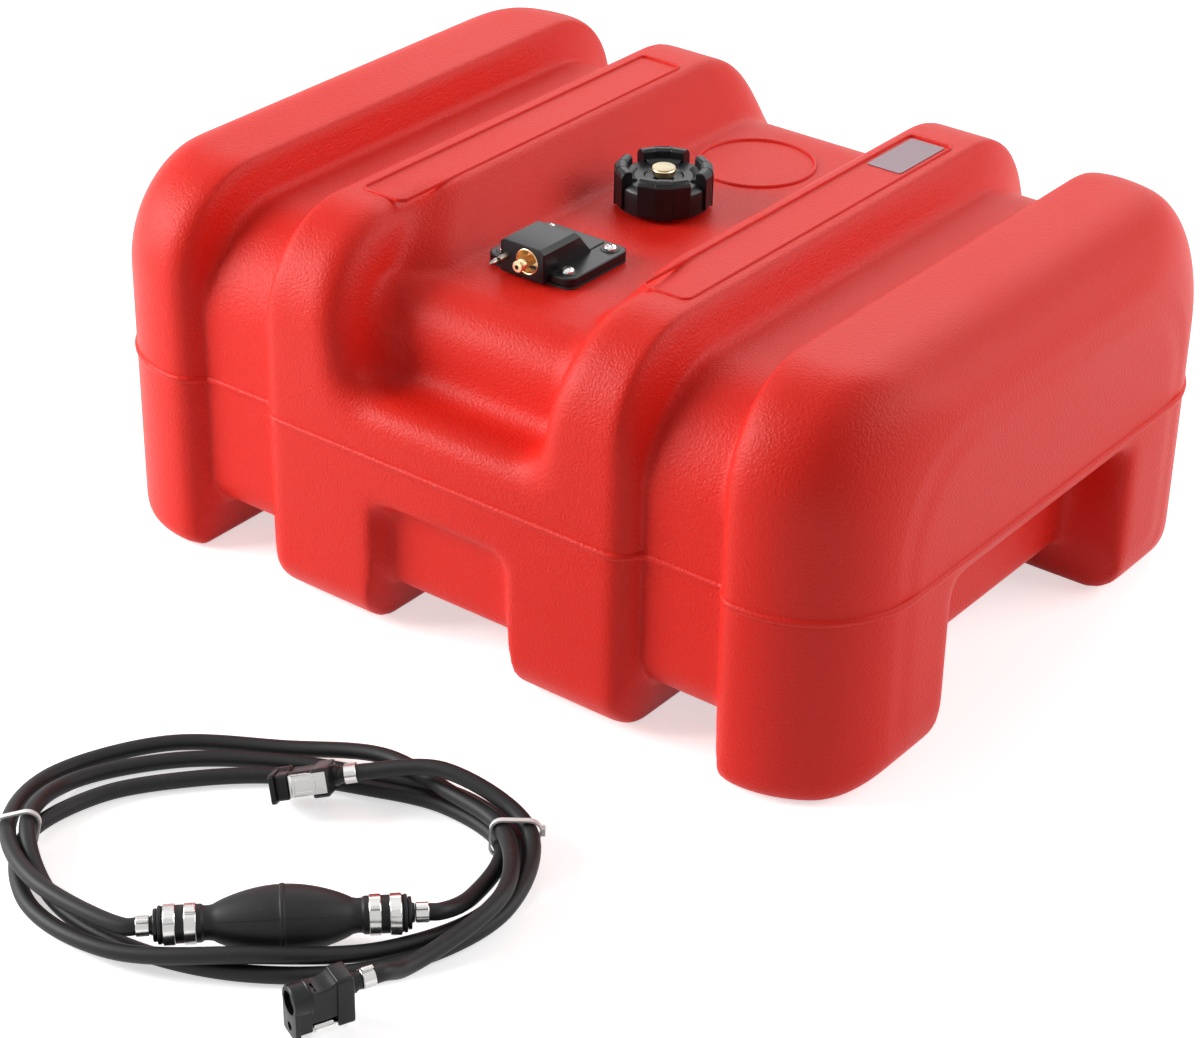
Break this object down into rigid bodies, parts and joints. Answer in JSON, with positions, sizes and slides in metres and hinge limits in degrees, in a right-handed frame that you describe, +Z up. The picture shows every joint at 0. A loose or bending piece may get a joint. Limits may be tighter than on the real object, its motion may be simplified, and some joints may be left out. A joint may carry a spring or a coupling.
{
  "type": "outboard fuel tank",
  "caption": "Portable red outboard fuel tank with raised lobes, handle pocket, vented filler cap and quick-connect outlet, with its coiled fuel line and primer bulb on the floor.",
  "frame": {"origin": "centre of the tank's footprint on the floor", "axes": "+X along the tank's length, -Y towards the handle pocket, +Z up"},
  "size_m": [0.611, 0.824, 0.2689],
  "materials": {
    "red_shell": "fine moulded grain, satin",
    "black_plastic": "satin moulded",
    "black_rubber": "matt",
    "brass": "turned",
    "steel": "bright",
    "ivory_plastic": "satin",
    "label_film": "printed film, blank",
    "white_plastic": "smooth",
    "strainer_mesh": "fine woven mesh"
  },
  "bodies": {
    "tank": {"shell_lower_lobe_left": "red_shell", "shell_lower_groove_left": "red_shell", "shell_lower_ridge_left": "red_shell", "shell_lower_valley": "red_shell", "shell_lower_ridge_right": "red_shell", "shell_lower_groove_right": "red_shell", "shell_lower_lobe_right": "red_shell", "shell_upper_lobe_left": "red_shell", "shell_upper_groove_left": "red_shell", "shell_upper_ridge_left": "red_shell", "shell_upper_valley": "red_shell", "shell_upper_ridge_right": "red_shell", "shell_upper_groove_right": "red_shell", "shell_upper_lobe_right": "red_shell", "shell_upper_pocket": "red_shell", "shell_filler_neck": "red_shell", "fitting_gasket": "black_rubber", "fitting_body": "black_plastic", "fitting_nipple": "brass", "fitting_guide_pin": "steel", "fitting_screw_1": "steel", "fitting_screw_2": "steel", "fitting_screw_3": "steel", "fitting_screw_4": "steel", "pickup_tube": "black_plastic", "pickup_strainer": "strainer_mesh", "blank_label": "label_film"},
    "cap_seal": {"cap_gasket": "black_rubber"},
    "cap": {"filler_cap": "black_plastic"},
    "vent_screw": {"vent_stem": "brass"},
    "vent_turner": {"vent_knob": "brass", "vent_inlay": "ivory_plastic"},
    "fuel_line": {"hose_engine_side": "black_rubber", "hose_tank_side": "black_rubber", "primer_bulb": "black_rubber", "tie_left": "white_plastic", "tie_right": "white_plastic", "bulb_clamp_1": "steel", "bulb_clamp_2": "steel", "bulb_clamp_3": "steel", "bulb_clamp_4": "steel", "check_valve_left": "black_plastic", "check_ball_left": "steel", "hose_clamp_bulb_left": "steel", "check_valve_right": "black_plastic", "check_ball_right": "steel", "hose_clamp_bulb_right": "steel", "engine_connector": "black_plastic", "hose_clamp_engine": "steel", "tank_connector": "black_plastic", "hose_clamp_tank": "steel"},
    "engine_catch": {"engine_latch": "steel"},
    "tank_catch": {"tank_latch": "steel"}
  },
  "joints": [
    {"name": "cap_lift", "type": "slide", "parent": "tank", "child": "cap_seal", "axis": [0, 0, 1], "range_m": [0, 0.06]},
    {"name": "cap_turn", "type": "hinge", "parent": "cap_seal", "child": "cap", "pos_m": [-0.0125, 0.0184, 0.25], "axis": [0, 0, 1], "range_deg": [0, 540]},
    {"name": "vent_lift", "type": "slide", "parent": "cap", "child": "vent_screw", "axis": [0, 0, 1], "range_m": [0, 0.002]},
    {"name": "vent_turn", "type": "hinge", "parent": "vent_screw", "child": "vent_turner", "pos_m": [-0.0125, 0.0184, 0.254], "axis": [0, 0, 1], "range_deg": [0, 720]},
    {"name": "fuel_line_lift", "type": "slide", "parent": "tank", "child": "fuel_line", "axis": [0, 0, 1], "range_m": [0, 0.1]},
    {"name": "engine_latch_press", "type": "hinge", "parent": "fuel_line", "child": "engine_catch", "pos_m": [0.19097, -0.53143, 0.0051], "axis": [-0.9135, 0.4067, 0], "range_deg": [0, 4], "stiffness_Nm_per_rad": 0.3},
    {"name": "tank_latch_press", "type": "hinge", "parent": "fuel_line", "child": "tank_catch", "pos_m": [0.05965, -0.40225, 0.02622], "axis": [0.3817, -0.2239, -0.8968], "range_deg": [0, 4], "stiffness_Nm_per_rad": 0.3}
  ]
}
